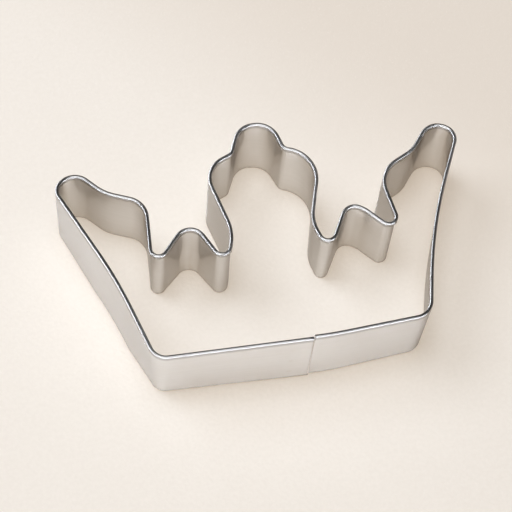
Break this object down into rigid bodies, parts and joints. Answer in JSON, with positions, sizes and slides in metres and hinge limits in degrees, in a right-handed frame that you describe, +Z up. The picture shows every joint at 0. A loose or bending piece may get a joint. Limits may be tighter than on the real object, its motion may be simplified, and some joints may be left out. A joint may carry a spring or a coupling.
{
  "type": "cookie cutter",
  "caption": "Crown-shaped cookie cutter of bent steel strip with a folded top rim and a lapped, spot-welded seam in its base.",
  "frame": {"origin": "middle of the bounding box, on the plane of the cutting edge", "axes": "+Z up from the cutting edge to the folded rim; +X along the crown's base; +Y from the base to the points of the crown"},
  "size_m": [0.1002, 0.0588, 0.025],
  "materials": {
    "strip_steel": "bright rolled stainless sheet",
    "weld_steel": "fused spot weld"
  },
  "bodies": {
    "root": {"crown_strip": "strip_steel", "spot_weld_lower": "weld_steel", "spot_weld_middle": "weld_steel", "spot_weld_upper": "weld_steel"}
  },
  "joints": []
}
